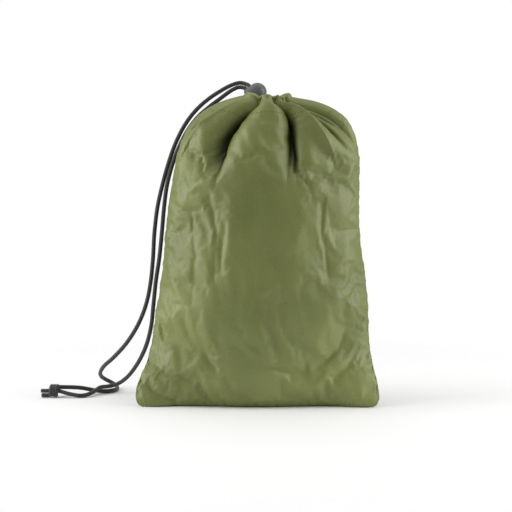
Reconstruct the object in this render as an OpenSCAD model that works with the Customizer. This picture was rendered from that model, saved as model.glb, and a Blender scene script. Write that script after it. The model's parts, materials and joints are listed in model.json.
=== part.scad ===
// Drawstring storage bag for a climber's throw line or rigging rope.
// It stands closed on the floor, filled out as if it held a coil of rope, with both
// tails of its drawcord hanging down its left side. -Y is the front and +Z is up.
// The origin is on the floor, under the middle of the bag.

/* [Bag] */
// Height of the closed bag, from the floor to the top of its gathered hem
bag_h = 287; // [240:1:345]
// Width across the two bottom corners
bag_w = 225; // [188:1:270]
// Depth from front to back, where the bag is fullest
bag_d = 92; // [77:1:110]
// Thickness of the coated cloth
cloth_t = 0.6; // [0.4:0.1:1]

/* [Seams] */
// How far the seam allowances and their binding reach into the bag
binding_w = 8; // [6:0.5:12]
// Thickness of two seam allowances with the binding folded round them
binding_t = 1.5; // [1:0.1:2.5]
// Length of one stitch
stitch_l = 2.4; // [1.8:0.1:4]
// Distance from one stitch to the next
stitch_pitch = 6; // [5:0.5:12]
// Thickness of the sewing thread
thread_d = 0.4; // [0.2:0.1:0.6]

/* [Gathered hem] */
// Sideways place of the gathered mouth
neck_x = 10; // [0:1:20]
// Outer radius of the gathered hem
hem_r = 20.5; // [19:0.5:25]
// Height of the gathered hem
hem_h = 19; // [17:0.5:24]
// Radius of the hole that is left in the middle of the drawn mouth
mouth_r = 6; // [4:0.5:8]
// Radius of the ring that the drawcord makes inside the hem
tunnel_r = 13.5; // [12:0.5:15]
// How far the cord's slit is turned to the left from straight behind
slit_turn = 7.5; // [0:0.5:15]
// Depth of the drawcord's tunnel below the top of the hem
tunnel_drop = 11; // [8:0.5:13]

/* [Drawcord] */
// Diameter of the drawcord
cord_d = 4; // [3:0.1:4.4]
// Room between the drawcord and the tunnel that it runs in
tunnel_gap = 0.3; // [0.2:0.1:0.6]
// Length of the cut ends past the stopper knot
cut_end_l = 9; // [5:1:20]

/* [Cord lock] */
// Outer diameter of the barrel
lock_d = 17.6; // [16:0.2:22]
// How far the plunger is pushed in to free the cord
press = 2.5; // [1.5:0.1:3]
// Diameter of the plunger
plunger_d = 11; // [9:0.2:12]
// How far the plunger stands out of the barrel
button_h = 4; // [3:0.2:6]
// Running clearance round the plunger
plunger_gap = 0.1; // [0.02:0.01:0.1]
// Room round the two strands in the cord hole
hole_gap = 0.35; // [0.25:0.05:0.8]
// Wire thickness of the return spring
wire_d = 0.7; // [0.5:0.1:0.8]
// Turns of the return spring
spring_turns = 3; // [2:1:3]

/* [Hidden] */

olive = "#7f8654";
dark_olive = "#5f663f";
black = "#2b2b2b";
grey = "#6f7270";
steel = "#b8bcc0";
$fn = 64;

FRONT = -1;
BACK = 1;
LEFT = -1;
RIGHT = 1;

// Room left between pieces that touch, so that flat facets never cut into a round
seat_gap = 0.1;

// The bag's shape, from the bottom seam up to the last row below the hem. Each row is
// [height, left edge, right edge, front depth, back depth, pointedness, back drop], with
// heights in hundredths of bag_h, edges and the drop in hundredths of bag_w, and depths
// in hundredths of half of bag_d. Pointedness 1 is an ellipse and 2 a pointed lens.
SHAPE = [
    [0, -44, 43, 0, 0, 1, 0],
    [0, -47, 46.5, 44, 44, 2.2, 0],
    [1, -49, 49, 54, 54, 2.2, 0],
    [3.5, -50, 50, 63, 63, 2.2, 0],
    [7, -49.5, 49.5, 72, 72, 2, 0],
    [12, -46.5, 48, 80, 80, 1.8, 0],
    [19, -44, 46.5, 90, 90, 1.6, 0],
    [30, -42, 46, 98, 98, 1.4, 0],
    [42, -39.5, 44.5, 100, 100, 1.3, 0],
    [56, -38, 42, 99, 99, 1.2, 0],
    [70, -35.5, 42, 93, 93, 1.15, 0],
    [79.5, -33.5, 42, 87, 87, 1.1, 0],
    [86.5, -31, 40.5, 79, 78, 1, 0],
    [91.3, -25.5, 37, 72, 67, 1, 1],
    [94.8, -19, 31, 64, 59, 1, 2.2],
    [97.2, -12, 23.5, 57, 51, 1, 3.6]
];
columns = 28;

// The last two rows follow the hem, so that the cloth closes round it
hem_top = bag_h;
hem_bottom = hem_top - hem_h;
tunnel_z = hem_top - tunnel_drop;
seat_r = hem_r + seat_gap;
collar_r = seat_r + 2.5;
collar_z = hem_top - 5;
collar_drop = 11;

function sized(r) = [
    r[0] * bag_h / 100, r[1] * bag_w / 100, r[2] * bag_w / 100,
    r[3] * bag_d / 200, r[4] * bag_d / 200, r[5], r[6] * bag_w / 100
];
ROWS = concat(
    [for (r = SHAPE) sized(r)],
    [[collar_z, neck_x - collar_r - 2, neck_x + collar_r + 2, collar_r, collar_r - 1.5, 1, collar_drop],
     [collar_z - 0.5, neck_x - seat_r, neck_x + seat_r, seat_r, seat_r, 1, collar_drop]]
);
last_row = len(ROWS) - 1;

// A point on the outside of the cloth: row i, column j from the left seam to the right
function skin(side, i, j) =
    let (r = ROWS[i], turn = 90 * (2 * j / columns - 1), mid = (r[1] + r[2]) / 2,
         half = (r[2] - r[1]) / 2, round = max(0, cos(turn)),
         depth = side == FRONT ? r[3] : r[4], drop = side == FRONT ? 0 : r[6])
    [mid + half * sin(turn), side * depth * pow(round, r[5]), r[0] - drop * round * round];

// The outward direction of the cloth there: down along the bottom seam, which lies on the
// floor, and in the seams' own plane along the two side seams.
function outward(side, i, j) =
    i == 0 ? [0, 0, -1] :
    let (along = skin(side, i, min(j + 1, columns)) - skin(side, i, max(j - 1, 0)),
         up = skin(side, min(i + 1, last_row), j) - skin(side, max(i - 1, 0), j),
         n = side * cross(up, along), on_seam = j == 0 || j == columns,
         flat = on_seam ? [n[0], 0, n[2]] : n)
    flat / norm(flat);

// The matching point inside the cloth, never past the plane where the panels are sewn
function lining(side, i, j) =
    let (p = skin(side, i, j) - cloth_t * outward(side, i, j))
    [p[0], side == FRONT ? min(p[1], 0) : max(p[1], 0), p[2]];

// Triangles between two lists of point numbers, the same way round on both halves
function strip(a, b) = [for (k = [0:len(a) - 2]) each 2 * k < len(a) - 1
    ? [[a[k], a[k + 1], b[k + 1]], [a[k], b[k + 1], b[k]]]
    : [[a[k], a[k + 1], b[k]], [a[k + 1], b[k + 1], b[k]]]];
function flipped(faces) = [for (f = faces) [f[2], f[1], f[0]]];
function facing(faces, keep) = keep ? faces : flipped(faces);

// One panel of cloth, closed along both seams, the bottom seam and the hem
module panel(side) {
    across = columns + 1;
    inside = across * (last_row + 1);
    points = [
        each [for (i = [0:last_row]) for (j = [0:columns]) skin(side, i, j)],
        each [for (i = [0:last_row]) for (j = [0:columns]) lining(side, i, j)]
    ];
    function row_of(i, base) = [for (j = [0:columns]) base + i * across + j];
    function column_of(j, base) = [for (i = [0:last_row]) base + i * across + j];
    faces = concat(
        [for (i = [0:last_row - 1]) each strip(row_of(i, 0), row_of(i + 1, 0))],
        [for (i = [0:last_row - 1]) each flipped(strip(row_of(i, inside), row_of(i + 1, inside)))],
        flipped(strip(row_of(0, 0), row_of(0, inside))),
        strip(row_of(last_row, 0), row_of(last_row, inside)),
        strip(column_of(0, 0), column_of(0, inside)),
        flipped(strip(column_of(columns, 0), column_of(columns, inside)))
    );
    polyhedron(points, facing(faces, side == BACK));
}

module front_panel() { color(olive) panel(FRONT); }
module back_panel() { color(olive) panel(BACK); }

// Half of the gathered hem, as the ring of bunched cloth that it makes when drawn shut
module hem_half(side) {
    difference() {
        translate([neck_x, 0, 0])
            rotate([0, 0, side == FRONT ? 180 : 0])
                rotate_extrude(angle = 180)
                    polygon([
                        [mouth_r, hem_bottom], [hem_r, hem_bottom], [hem_r, hem_top],
                        [mouth_r + 5, hem_top], [mouth_r, tunnel_z]
                    ]);
        translate([neck_x, 0, tunnel_z])
            rotate_extrude()
                translate([tunnel_r, 0])
                    circle(cord_d / 2 + tunnel_gap);
        if (side == BACK)
            translate([neck_x, 0, tunnel_z - slit_h / 2])
                rotate([0, 0, slit_turn])
                    translate([-slit_w / 2, tunnel_r - cord_d / 2, 0])
                        cube([slit_w, hem_r, slit_h]);
    }
}

module front_hem() { color(olive) hem_half(FRONT); }
module back_hem() { color(olive) hem_half(BACK); }

// The slit at the back of the hem, where both strands of the drawcord come out
slit_w = 2 * cord_d + 1.6;
slit_h = cord_d + 2.8;

module exit_bar_tacks() {
    tack_w = 1.4;
    tack_h = slit_h - 1;
    for (s = [LEFT, RIGHT])
        color(dark_olive)
            translate([neck_x, 0, tunnel_z - tack_h / 2])
                rotate([0, 0, 90 + slit_turn - s * asin((slit_w / 2 + tack_w) / hem_r)])
                    translate([hem_r, -tack_w / 2, 0])
                        cube([2 * thread_d, tack_w, tack_h]);
}

// A seam runs up the bag in the plane between the panels. Binding starts where the bag
// has opened far enough to take its thickness, and ends binding_w further in.
first_bound = 3;
last_bound = last_row - 2;

function seam_inset(i) =
    let (r = ROWS[i], half = (r[2] - r[1]) / 2, depth = min(r[3], r[4]),
         share = (binding_t / 2 + cloth_t + 0.4) / depth)
    half * (1 - sqrt(1 - pow(share, 2 / r[5]))) + cloth_t + 0.3;
function seam_point(edge, i, inset) =
    let (j = edge == LEFT ? 0 : columns)
    skin(FRONT, i, j) - inset * outward(FRONT, i, j);

module seam_binding(edge) {
    near = [for (i = [first_bound:last_bound]) seam_point(edge, i, seam_inset(i))];
    far = [for (i = [first_bound:last_bound]) seam_point(edge, i, seam_inset(i) + binding_w)];
    n = len(near);
    thick = [0, binding_t / 2, 0];
    points = concat(
        [for (p = near) p - thick], [for (p = far) p - thick],
        [for (p = far) p + thick], [for (p = near) p + thick]
    );
    lines = [for (k = [0:3]) [for (i = [0:n - 1]) k * n + i]];
    sides = [for (k = [0:3]) each strip(lines[k], lines[(k + 1) % 4])];
    ends = [
        [lines[0][0], lines[1][0], lines[2][0]], [lines[0][0], lines[2][0], lines[3][0]],
        [lines[2][n - 1], lines[1][n - 1], lines[0][n - 1]],
        [lines[3][n - 1], lines[2][n - 1], lines[0][n - 1]]
    ];
    color(dark_olive) polyhedron(points, facing(concat(sides, ends), edge == LEFT));
}

module left_seam_binding() { seam_binding(LEFT); }
module right_seam_binding() { seam_binding(RIGHT); }

bottom_left = ROWS[0][1] + 3;
bottom_right = ROWS[0][2] - 3;
module bottom_seam_binding() {
    color(dark_olive)
        translate([bottom_left, -binding_t / 2, cloth_t + seat_gap])
            cube([bottom_right - bottom_left, binding_t, binding_w]);
}

// One stitch, lying along X on the face of a binding
module stitch() {
    color(dark_olive)
        translate([-stitch_l / 2, -thread_d, -thread_d / 2])
            cube([stitch_l, thread_d, thread_d]);
}

// A row of stitches along the middle of a side seam's binding
module seam_stitching(edge) {
    line = [for (i = [first_bound:last_bound]) seam_point(edge, i, seam_inset(i) + binding_w / 2)];
    for (k = [0:len(line) - 2]) {
        step = line[k + 1] - line[k];
        count = max(1, floor(norm(step) / stitch_pitch));
        for (m = [0:count - 1])
            translate(line[k] + step * (m + 0.5) / count - [0, binding_t / 2, 0])
                rotate([0, -atan2(step[2], step[0]), 0])
                    stitch();
    }
}

module left_seam_stitching() { seam_stitching(LEFT); }
module right_seam_stitching() { seam_stitching(RIGHT); }

module bottom_seam_stitching() {
    count = floor((bottom_right - bottom_left) / stitch_pitch);
    for (m = [0:count - 1])
        translate([bottom_left + (m + 0.5) * (bottom_right - bottom_left) / count,
                   -binding_t / 2, cloth_t + binding_w / 2])
            stitch();
}

// The row of stitches round the outside of the hem, above the drawcord
module hem_stitching() {
    count = floor(360 / (2 * asin(stitch_pitch / 2 / hem_r)));
    for (m = [0:count - 1])
        translate([neck_x, 0, hem_top - 2.5])
            rotate([0, 0, (m + 0.5) * 360 / count])
                translate([0, -hem_r, 0])
                    stitch();
}

// The drawcord is one cord: a loop inside the hem and two tails, tied together at the end.
// Each tail's points run from the loop, out of the slit, through the lock and over the
// left shoulder to the floor, where they lie crossed and end in the stopper knot.
OUTER_ROUTE = [
    [10.5, 13, 276], [10, 16.4, 276.2], [9.5, 19.1, 276.8], [8.5, 22.1, 277.8],
    [6.7, 24.4, 279.7], [4.9, 26, 281.8], [-7.8, 36.6, 295.6], [-10.4, 38.5, 297.3],
    [-14.3, 40, 298.6], [-19, 40, 298.5], [-26, 38, 296], [-35, 35, 291], [-46, 31, 283.6],
    [-57, 27.3, 273.8], [-67, 23.5, 261], [-76, 21, 244], [-83, 19.5, 225], [-89, 19, 204],
    [-94, 19, 182], [-97, 19, 158], [-98.5, 19.5, 134], [-101, 21, 111], [-105.5, 24, 90],
    [-113.5, 28, 70], [-125, 34.5, 51.5], [-138, 43, 36.5], [-148, 52.5, 26.8],
    [-152.8, 62, 19.6], [-153.6, 70.5, 14], [-150.8, 77.3, 9.8], [-145.8, 80.6, 6.4],
    [-140.8, 78.4, 4], [-138, 72.5, 2.5], [-137.2, 65, 2.2], [-138, 58, 2.2], [-141, 52.3, 2.2],
    [-146.5, 48.4, 2.2], [-155, 45.5, 3.2], [-171, 40.5, 7], [-190.6, 30.6, 9.4]
];
INNER_ROUTE = [
    [6.2, 12.4, 276], [5.7, 15.5, 275.7], [5.3, 18.8, 275.4], [4.7, 21.2, 275.9],
    [3.7, 23, 276.9], [1.5, 25.2, 279.3], [-10.4, 35.1, 292.2], [-12.6, 36.5, 293.8],
    [-15.3, 37.4, 294.6], [-18.2, 37.6, 294.5], [-21, 37, 293.5], [-27, 35, 290],
    [-35.5, 32, 283.6], [-45.5, 28.6, 276], [-56, 24.5, 266.6], [-65.5, 20.5, 254],
    [-73.5, 17, 238.5], [-80, 14.5, 221], [-84.8, 13, 202], [-87.5, 12.5, 182],
    [-89.5, 12.5, 160], [-92, 12.5, 136], [-95.5, 13, 113], [-98, 15, 91], [-100.5, 19, 70],
    [-105.5, 25.5, 51], [-113, 34, 34.5], [-122, 42.5, 20.8], [-130, 48.6, 12.6],
    [-137.5, 51.3, 8.2], [-145, 49.4, 6.8], [-151.3, 43.9, 6.8], [-156.5, 36, 4.4],
    [-162, 28.5, 2.6], [-169, 24, 2.2], [-179, 24, 3.8], [-190, 26, 6.6]
];
tube_sides = 8;

function unit(v) = v / norm(v);
function heading(route, i) =
    unit(route[min(i + 1, len(route) - 1)] - route[max(i - 1, 0)]);
// A direction square to the route, carried from ring to ring so that the tube never twists
function carried(route, i) =
    i == 0 ? unit(cross(heading(route, 0), abs(heading(route, 0)[2]) < 0.9 ? [0, 0, 1] : [1, 0, 0]))
           : let (h = heading(route, i), q = carried(route, i - 1)) unit(q - (q * h) * h);
function ring(centre, h, q, r) =
    let (w = cross(h, q))
    [for (k = [0:tube_sides - 1]) centre + r * (q * cos(360 * k / tube_sides) + w * sin(360 * k / tube_sides))];

// A plain round tube along a route
module tube(route, d) {
    n = len(route);
    points = [for (i = [0:n - 1]) each ring(route[i], heading(route, i), carried(route, i), d / 2)];
    function loop_of(i) = [for (k = [0:tube_sides]) i * tube_sides + k % tube_sides];
    faces = concat(
        [for (i = [0:n - 2]) each flipped(strip(loop_of(i), loop_of(i + 1)))],
        [[for (k = [0:tube_sides - 1]) k]],
        [[for (k = [tube_sides - 1:-1:0]) (n - 1) * tube_sides + k]]
    );
    polyhedron(points, faces);
}

module drawcord_loop() {
    gap = asin((cord_d / 2 + 0.35) / tunnel_r);
    color(black)
        translate([neck_x, 0, tunnel_z])
            rotate([0, 0, 90 + slit_turn + gap])
                rotate_extrude(angle = 360 - 2 * gap)
                    translate([tunnel_r, 0])
                        circle(cord_d / 2);
}

module outer_tail() { color(black) tube(OUTER_ROUTE, cord_d); }
module inner_tail() { color(black) tube(INNER_ROUTE, cord_d); }

// Both tails tied in one overhand knot, which lies on the floor, and their two cut ends
knot_r = 1.6 * cord_d;
knot_l = 2.1 * cord_d;
knot_at = [-193.5, 27.5, knot_r + 0.2];
module stopper_knot() {
    bulge = knot_l / 2;
    color(black) {
        translate(knot_at)
            rotate([0, 90, 0]) {
                rotate_extrude()
                    intersection() {
                        translate([knot_r - bulge, 0])
                            circle(bulge);
                        translate([0, -bulge])
                            square([knot_r, knot_l]);
                    }
                cylinder(r = knot_r - bulge, h = knot_l, center = true);
            }
        for (z = [cord_d / 2 + 0.2, 1.5 * cord_d + 0.4])
            translate([knot_at[0], knot_at[1] - 1.5, z])
                rotate([0, -90, 0])
                    cylinder(d = cord_d, h = knot_l / 2 + cut_end_l);
    }
}

// The cord lock sits behind the hem on both strands. In its own frame Z is the way the
// plunger comes out and X the way the cord leaves. lock_at is the middle of its cord hole.
lock_at = [-3.3, 31, 287.6];
lock_turn = [-140, -40, 140];
hole_w = cord_d + 2 * hole_gap;
hole_h = 2 * cord_d + 2 * hole_gap + 0.3;
barrel_top = hole_h / 2 + 1.7;
barrel_dome = -4;
plunger_top = barrel_top + button_h;
plunger_foot = -hole_h / 2 - 1.2;
plunger_floor = plunger_foot - press - 0.2;
spring_r = 0.32 * plunger_d;
spring_seat = plunger_foot - press - spring_turns * wire_d - 0.5;

// A passage for both strands, one above the other, from lowest to highest
module strand_hole(low, high) {
    r = hole_w / 2;
    for (z = [low + r, high - r])
        translate([0, 0, z])
            rotate([0, 90, 0])
                cylinder(r = r, h = 2 * lock_d, center = true);
    translate([-lock_d, -r, low + r])
        cube([2 * lock_d, hole_w, high - low - hole_w]);
}

module lock_barrel() {
    r = lock_d / 2;
    lip = 2;
    color(grey)
        translate(lock_at)
            rotate(lock_turn)
                difference() {
                    union() {
                        translate([0, 0, barrel_dome])
                            sphere(r);
                        translate([0, 0, barrel_dome])
                            cylinder(r = r, h = barrel_top - lip - barrel_dome);
                        translate([0, 0, barrel_top - lip])
                            rotate_extrude()
                                translate([r - lip, 0])
                                    circle(lip);
                        cylinder(r = r - lip, h = barrel_top);
                    }
                    translate([0, 0, plunger_floor])
                        cylinder(r = plunger_d / 2 + plunger_gap, h = lock_d + button_h);
                    translate([0, 0, spring_seat])
                        cylinder(r = spring_r + plunger_gap, h = lock_d);
                    strand_hole(-hole_h / 2, hole_h / 2);
                }
}

module lock_plunger() {
    r = plunger_d / 2;
    edge = 1.2;
    color(grey)
        translate(lock_at)
            rotate(lock_turn)
                difference() {
                    union() {
                        translate([0, 0, plunger_foot])
                            cylinder(r = r, h = plunger_top - edge - plunger_foot);
                        translate([0, 0, plunger_top - edge])
                            rotate_extrude()
                                translate([r - edge, 0])
                                    circle(edge);
                        cylinder(r = r - edge, h = plunger_top);
                    }
                    strand_hole(-hole_h / 2, hole_h / 2 + press);
                }
}

module lock_spring() {
    steps = 12 * spring_turns;
    low = spring_seat + wire_d / 2 + 0.02;
    high = plunger_foot - wire_d / 2 - 0.02;
    coil_r = spring_r - wire_d / 2;
    route = [for (k = [0:steps])
        [coil_r * cos(30 * k), coil_r * sin(30 * k), low + (high - low) * k / steps]];
    color(steel)
        translate(lock_at)
            rotate(lock_turn)
                tube(route, wire_d);
}

front_panel();
back_panel();
front_hem();
back_hem();
left_seam_binding();
right_seam_binding();
bottom_seam_binding();
left_seam_stitching();
right_seam_stitching();
bottom_seam_stitching();
hem_stitching();
exit_bar_tacks();
drawcord_loop();
outer_tail();
inner_tail();
stopper_knot();
lock_barrel();
lock_plunger();
lock_spring();
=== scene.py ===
"""Finished look of a drawstring rope bag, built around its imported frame.

The plain cloth solids, the cord tails, the inner bindings and the sewing of the frame are replaced by gathered nylon,
braided cord, a stopper knot, tape and stitches. The cord lock, its spring and the drawcord's loop inside the hem keep
their CAD shape and get a finish.
All lengths are in metres, +Z is up through the gathered mouth and -Y is towards the front panel.
"""

import json
import logging
import math
from dataclasses import dataclass, field
from enum import Enum

import bmesh
import bpy
import numpy as np
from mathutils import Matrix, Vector, noise
from mathutils.bvhtree import BVHTree


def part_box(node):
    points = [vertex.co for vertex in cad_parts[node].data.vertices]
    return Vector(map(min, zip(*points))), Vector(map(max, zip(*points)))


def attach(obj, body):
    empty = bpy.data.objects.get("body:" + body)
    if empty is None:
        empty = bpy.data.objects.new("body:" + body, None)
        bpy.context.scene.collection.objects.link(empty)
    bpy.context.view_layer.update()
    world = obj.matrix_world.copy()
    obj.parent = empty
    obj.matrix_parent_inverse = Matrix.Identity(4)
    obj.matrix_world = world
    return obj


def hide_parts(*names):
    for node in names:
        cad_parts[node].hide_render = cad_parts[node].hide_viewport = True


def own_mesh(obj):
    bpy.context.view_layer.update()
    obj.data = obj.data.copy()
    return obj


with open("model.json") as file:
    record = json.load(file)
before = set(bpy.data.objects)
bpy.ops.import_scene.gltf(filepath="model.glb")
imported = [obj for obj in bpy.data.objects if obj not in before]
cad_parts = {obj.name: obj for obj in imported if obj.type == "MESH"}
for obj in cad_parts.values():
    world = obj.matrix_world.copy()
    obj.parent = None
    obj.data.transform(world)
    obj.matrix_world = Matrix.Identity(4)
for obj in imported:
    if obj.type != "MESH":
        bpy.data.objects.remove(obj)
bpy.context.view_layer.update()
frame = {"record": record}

logging.basicConfig(level=logging.INFO, format="%(message)s")
log = logging.getLogger("rope_bag")

MM = 0.001
CORD_D = 4.0 * MM
WAVE_BANDS = 20 / math.tau  # bands that the wave texture draws in one unit of X or Y at a scale of 1
WAVE_DIAGONALS = 10 / math.tau  # the same for bands that run diagonally, counted along any one axis
PRESS_AXIS = (0.790379, 0.175886, 0.586824)  # the way the plunger goes into the barrel

# Routes of the two drawcord tails in millimetres, from the hem's slit through the cord lock, down the bag's left side
# and over the floor to the stopper knot.
OUTER_ROUTE = [
    (10.5, 13, 276), (10, 16.4, 276.2), (9.5, 19.1, 276.8), (8.5, 22.1, 277.8), (6.7, 24.4, 279.7), (4.9, 26, 281.8),
    (-7.8, 36.6, 295.6), (-10.4, 38.5, 297.3), (-14.3, 40, 298.6), (-19, 40, 298.5), (-26, 38, 296), (-35, 35, 291),
    (-46, 31, 283.6), (-57, 27.3, 273.8), (-67, 23.5, 261), (-76, 21, 244), (-83, 19.5, 225), (-89, 19, 204),
    (-94, 19, 182), (-97, 19, 158), (-98.5, 19.5, 134), (-101, 21, 111), (-105.5, 24, 90), (-113.5, 28, 70),
    (-125, 34.5, 51.5), (-138, 43, 36.5), (-148, 52.5, 26.8), (-152.8, 62, 19.6), (-153.6, 70.5, 14),
    (-150.8, 77.3, 9.8), (-145.8, 80.6, 6.4), (-140.8, 78.4, 4), (-138, 72.5, 2.5), (-137.2, 65, 2.2),
    (-138, 58, 2.2), (-141, 52.3, 2.2), (-146.5, 48.4, 2.2), (-155, 45.5, 3.2), (-171, 40.5, 7), (-190.6, 30.6, 9.4),
]
INNER_ROUTE = [
    (6.2, 12.4, 276), (5.7, 15.5, 275.7), (5.3, 18.8, 275.4), (4.7, 21.2, 275.9), (3.7, 23, 276.9),
    (1.5, 25.2, 279.3), (-10.4, 35.1, 292.2), (-12.6, 36.5, 293.8), (-15.3, 37.4, 294.6), (-18.2, 37.6, 294.5),
    (-21, 37, 293.5),
    (-27, 35, 290), (-35.5, 32, 283.6), (-45.5, 28.6, 276), (-56, 24.5, 266.6), (-65.5, 20.5, 254),
    (-73.5, 17, 238.5), (-80, 14.5, 221), (-84.8, 13, 202), (-87.5, 12.5, 182), (-89.5, 12.5, 160), (-92, 12.5, 136),
    (-95.5, 13, 113), (-98, 15, 91), (-100.5, 19, 70), (-105.5, 25.5, 51), (-113, 34, 34.5), (-122, 42.5, 20.8),
    (-130, 48.6, 12.6), (-137.5, 51.3, 8.2), (-145, 49.4, 6.8), (-151.3, 43.9, 6.8), (-156.5, 36, 4.4),
    (-162, 28.5, 2.6), (-169, 24, 2.2), (-179, 24, 3.8), (-190, 26, 6.6),
]


def linear(hex_code: str) -> tuple[float, float, float, float]:
    """Turns an sRGB hex code into the linear colour that a shader socket takes.

    Args:
        hex_code: Six hex digits with a leading "#".

    Returns:
        Red, green, blue and an alpha of 1, all linear.
    """
    values = [int(hex_code[i : i + 2], 16) / 255 for i in (1, 3, 5)]
    parts = [v / 12.92 if v <= 0.04045 else ((v + 0.055) / 1.055) ** 2.4 for v in values]
    return (parts[0], parts[1], parts[2], 1.0)


def add_node(tree: bpy.types.NodeTree, kind: str, links: dict | None = None, **settings) -> bpy.types.Node:
    """Adds a shader node with its settings, values and incoming links.

    Args:
        tree: Node tree of the material.
        kind: Node type, such as "ShaderNodeTexNoise".
        links: Input name or number to a value, or to the output socket that feeds it.
        **settings: Attributes of the node itself.

    Returns:
        The new node.
    """
    made = tree.nodes.new(kind)
    for name, value in settings.items():
        setattr(made, name, value)
    for name, value in (links or {}).items():
        socket = made.inputs[name]
        if isinstance(value, bpy.types.NodeSocket):
            tree.links.new(value, socket)
        else:
            socket.default_value = value
    return made


def new_material(name: str) -> tuple[bpy.types.Material, bpy.types.NodeTree, bpy.types.Node]:
    """Makes an empty material with its Principled shader.

    Args:
        name: Name of the real material.

    Returns:
        The material, its node tree and the shader node.
    """
    material = bpy.data.materials.new(name)
    material.use_nodes = True
    tree = material.node_tree
    return material, tree, tree.nodes["Principled BSDF"]


@dataclass(frozen=True)
class CoatedNylon:
    """Plain-weave nylon with a thin coating: a soft satin shine with broad highlights and a slight papery crinkle."""

    name: str = "coated_plain_weave_nylon"
    light: str = "#7b8247"
    dark: str = "#697039"
    # painted shade: the colour that the deep tucks are darkened towards
    painted_tuck_shade_colour: str = "#373d1d"
    thread_mm: float = 1.382  # the real thread spacing of 0.3 mm is too fine to show, so it is drawn this coarse
    blotch_mm: float = 70.0
    speck_mm: float = 1.6
    crinkle_mm: float = 9.0
    crinkle_depth_mm: float = 1.2
    weave_depth_mm: float = 0.12
    roughness: float = 0.46

    def build(self) -> bpy.types.Material:
        """Makes the nylon from its weave, crinkle, faint dye variation and a painted shade in its deep tucks."""
        material, tree, shader = new_material(self.name)
        uv = add_node(tree, "ShaderNodeUVMap", uv_map="cloth")
        place = add_node(tree, "ShaderNodeTexCoord")
        blotch = add_node(
            tree,
            "ShaderNodeTexNoise",
            {"Vector": place.outputs["Object"], "Scale": 1 / (self.blotch_mm * MM), "Detail": 4.0},
        )
        fine = add_node(
            tree, "ShaderNodeTexNoise", {"Vector": uv.outputs["UV"], "Scale": 1 / (self.speck_mm * MM), "Detail": 2.0}
        )
        tone = add_node(
            tree, "ShaderNodeMix", {0: 0.25, 2: blotch.outputs["Fac"], 3: fine.outputs["Fac"]}, data_type="FLOAT"
        )
        ramp = add_node(tree, "ShaderNodeValToRGB", {"Fac": tone.outputs[0]})
        ramp.color_ramp.elements[0].position = 0.36
        ramp.color_ramp.elements[0].color = linear(self.dark)
        ramp.color_ramp.elements[1].position = 0.64
        ramp.color_ramp.elements[1].color = linear(self.light)
        painted_tuck_shade = add_node(tree, "ShaderNodeAttribute", attribute_name="painted_tuck_shade")
        # painted shade: a darker tone mixed into the colour where the cloth is tucked deep, standing in for the
        # little light that gets down between two layers of the cloth
        shaded = add_node(
            tree,
            "ShaderNodeMix",
            {"Factor": painted_tuck_shade.outputs["Fac"], 6: ramp.outputs["Color"], 7: linear(self.painted_tuck_shade_colour)},
            data_type="RGBA",
        )
        tree.links.new(shaded.outputs[2], shader.inputs["Base Color"])
        waves = [
            add_node(
                tree,
                "ShaderNodeTexWave",
                {"Vector": uv.outputs["UV"], "Scale": 1 / (self.thread_mm * MM) / WAVE_BANDS, "Distortion": 0.4},
                wave_type="BANDS",
                bands_direction=direction,
            )
            for direction in ("X", "Y")
        ]
        weave = add_node(
            tree, "ShaderNodeMath", {0: waves[0].outputs["Fac"], 1: waves[1].outputs["Fac"]}, operation="MULTIPLY"
        )
        crinkle = add_node(
            tree,
            "ShaderNodeTexNoise",
            {
                "Vector": place.outputs["Object"],
                "Scale": 1 / (self.crinkle_mm * MM),
                "Detail": 3.0,
                "Roughness": 0.55,
                "Distortion": 0.6,
            },
        )
        soft = add_node(
            tree,
            "ShaderNodeBump",
            {"Height": crinkle.outputs["Fac"], "Strength": 0.35, "Distance": self.crinkle_depth_mm * MM},
        )
        bump = add_node(
            tree,
            "ShaderNodeBump",
            {
                "Height": weave.outputs["Value"],
                "Strength": 0.25,
                "Distance": self.weave_depth_mm * MM,
                "Normal": soft.outputs["Normal"],
            },
        )
        tree.links.new(bump.outputs["Normal"], shader.inputs["Normal"])
        rough = add_node(
            tree,
            "ShaderNodeMapRange",
            {"Value": fine.outputs["Fac"], "To Min": self.roughness - 0.05, "To Max": self.roughness + 0.07},
        )
        tree.links.new(rough.outputs["Result"], shader.inputs["Roughness"])
        shader.inputs["IOR"].default_value = 1.5
        shader.inputs["Sheen Weight"].default_value = 0.04
        shader.inputs["Sheen Roughness"].default_value = 0.45
        shader.inputs["Sheen Tint"].default_value = linear("#c8cf9a")
        return material


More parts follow.
